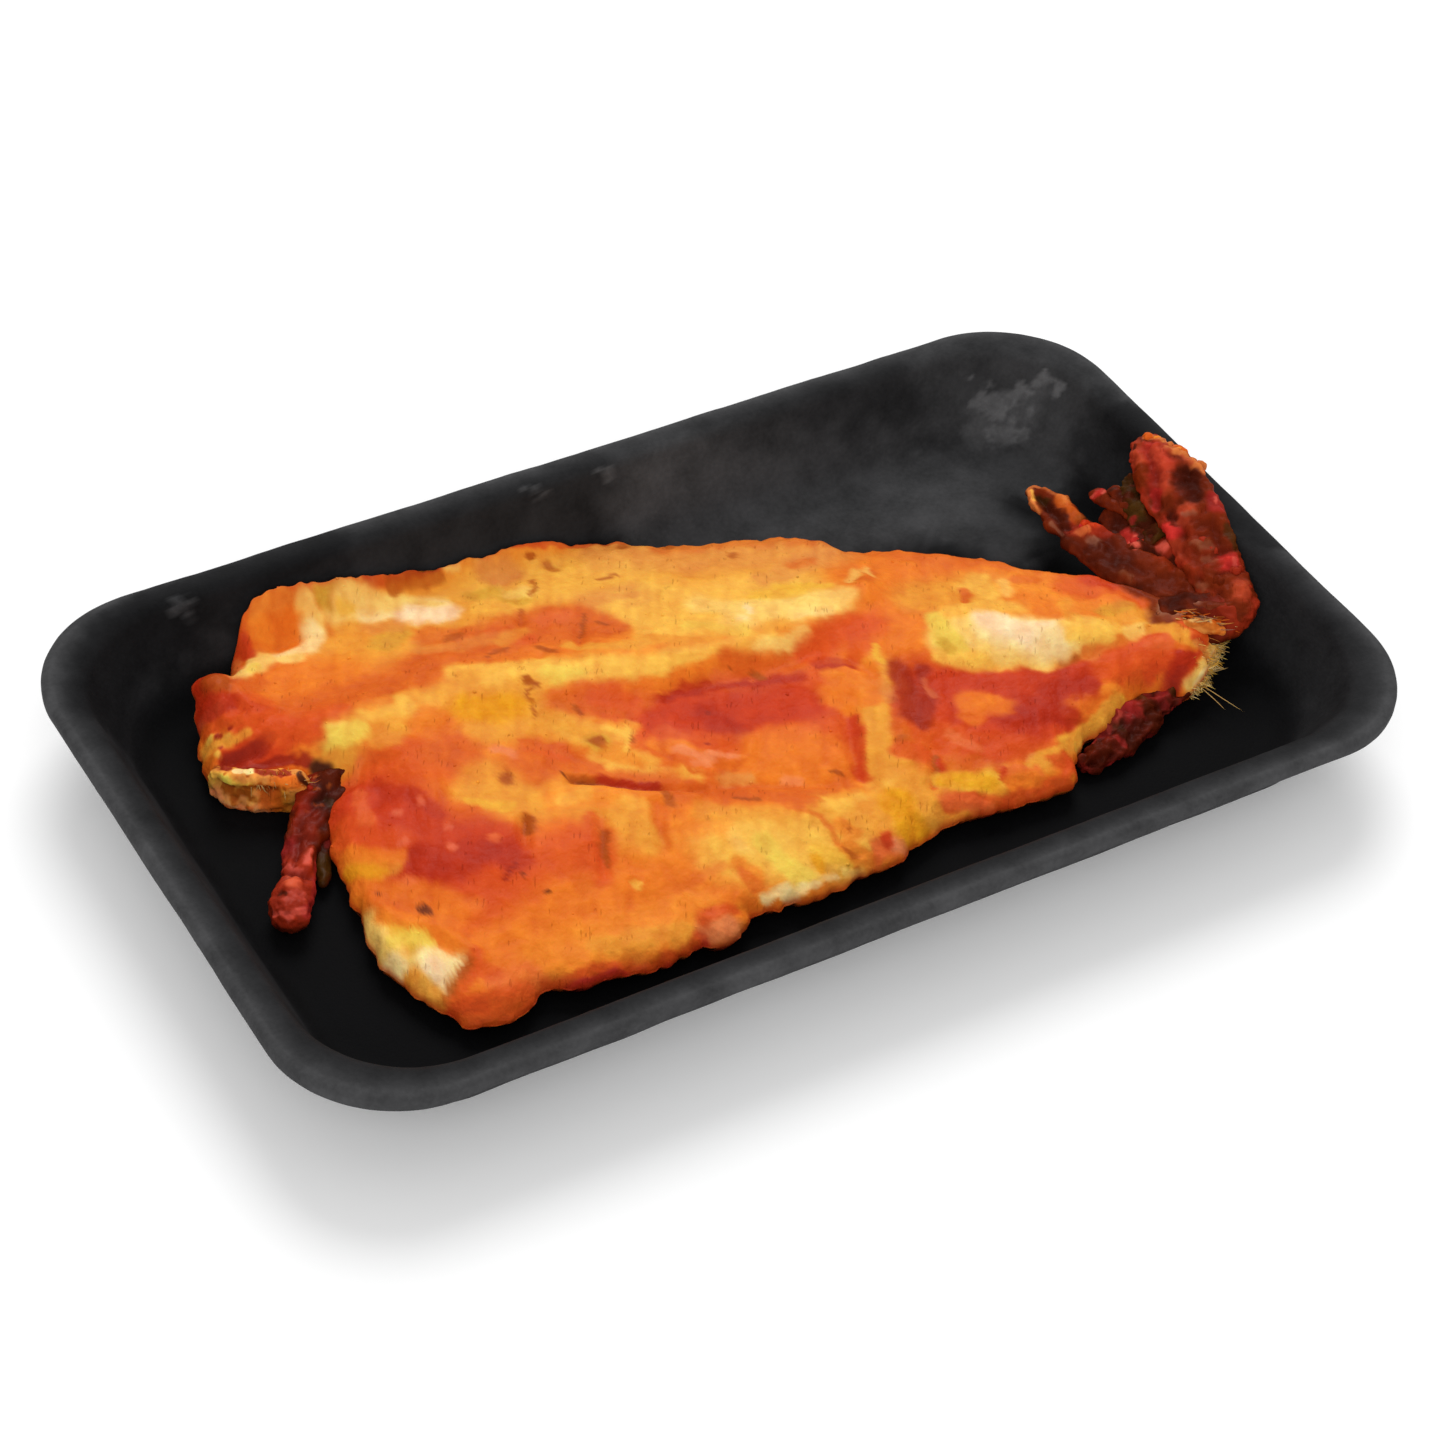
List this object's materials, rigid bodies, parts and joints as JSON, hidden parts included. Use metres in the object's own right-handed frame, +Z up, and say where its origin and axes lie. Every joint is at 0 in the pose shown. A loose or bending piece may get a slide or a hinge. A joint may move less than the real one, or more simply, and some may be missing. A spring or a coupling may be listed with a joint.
{
  "type": "fried baby hake on a tray",
  "caption": "Whole fried baby hake, headless and opened flat, golden and dark red with a stiff tail fin, lying in a shallow black foam tray.",
  "frame": {"origin": "Under the middle of the tray, on the surface that the tray stands on.", "axes": "+X runs along the tray's long side from the fish's head end to its tail, +Y across the tray to the long wall that the fish leans on, +Z up."},
  "size_m": [0.225, 0.135, 0.024],
  "materials": {
    "black_foam": "fine-celled expanded foam with a skin, dull sheen, small scuffs",
    "fried_crust": "blistered, oily fried skin and flesh, golden to deep red-brown",
    "fried_fin": "stiff ribbed fin, dark red-brown, wet with oil",
    "cooked_flesh": "cream cooked flesh and dry tan fibres where the crust is broken"
  },
  "bodies": {
    "root": {"tray": "black_foam", "hake": "fried_crust"}
  },
  "joints": []
}
